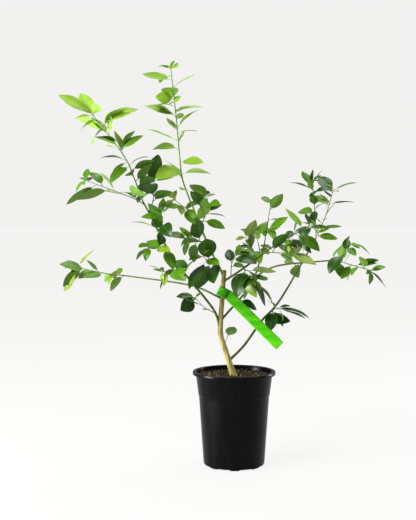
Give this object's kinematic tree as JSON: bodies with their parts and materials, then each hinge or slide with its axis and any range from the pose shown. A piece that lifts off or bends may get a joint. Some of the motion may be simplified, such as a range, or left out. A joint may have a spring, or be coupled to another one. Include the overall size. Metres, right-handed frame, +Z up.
{
  "type": "potted key lime tree",
  "caption": "Young key lime bush in a round black nursery pot: slender trunk, long arching boughs with sparse glossy leaves, and a plain green strap tag.",
  "frame": {"origin": "centre of the pot's flat underside, on the surface that it stands on", "axes": "+Z up along the pot's axis; +X to the right and -Y towards the viewer of the pictured side"},
  "size_m": [0.6326, 0.3374, 0.7928],
  "materials": {
    "pot_plastic": "satin",
    "potting_mix": "matte",
    "tan_bark": "matte",
    "green_bark": "satin",
    "leaves": "satin",
    "strap_plastic": "gloss"
  },
  "bodies": {
    "root": {"pot": "pot_plastic", "potting_mix": "potting_mix", "trunk": "tan_bark", "leader": "green_bark", "left_bough": "tan_bark", "far_left_bough": "tan_bark", "right_bough": "tan_bark", "rear_bough": "tan_bark", "flat_bough": "tan_bark", "low_bough": "tan_bark", "top": "leaves", "leader_right": "leaves", "leader_left": "leaves", "leader_low": "leaves", "centre_left": "leaves", "left_high": "leaves", "left_side": "leaves", "left_mid": "leaves", "left_low": "leaves", "left_out": "leaves", "left_inner": "leaves", "low_left": "leaves", "far_left": "leaves", "centre": "leaves", "right_low": "leaves", "centre_right": "leaves", "centre_rear": "leaves", "rear_top": "leaves", "right_tip": "leaves", "right_under": "leaves", "side_leaves": "leaves", "low_inner": "leaves", "trunk_leaf": "leaves", "right_top": "leaves", "flat_tip": "leaves", "tie_tag": "strap_plastic"}
  },
  "joints": []
}
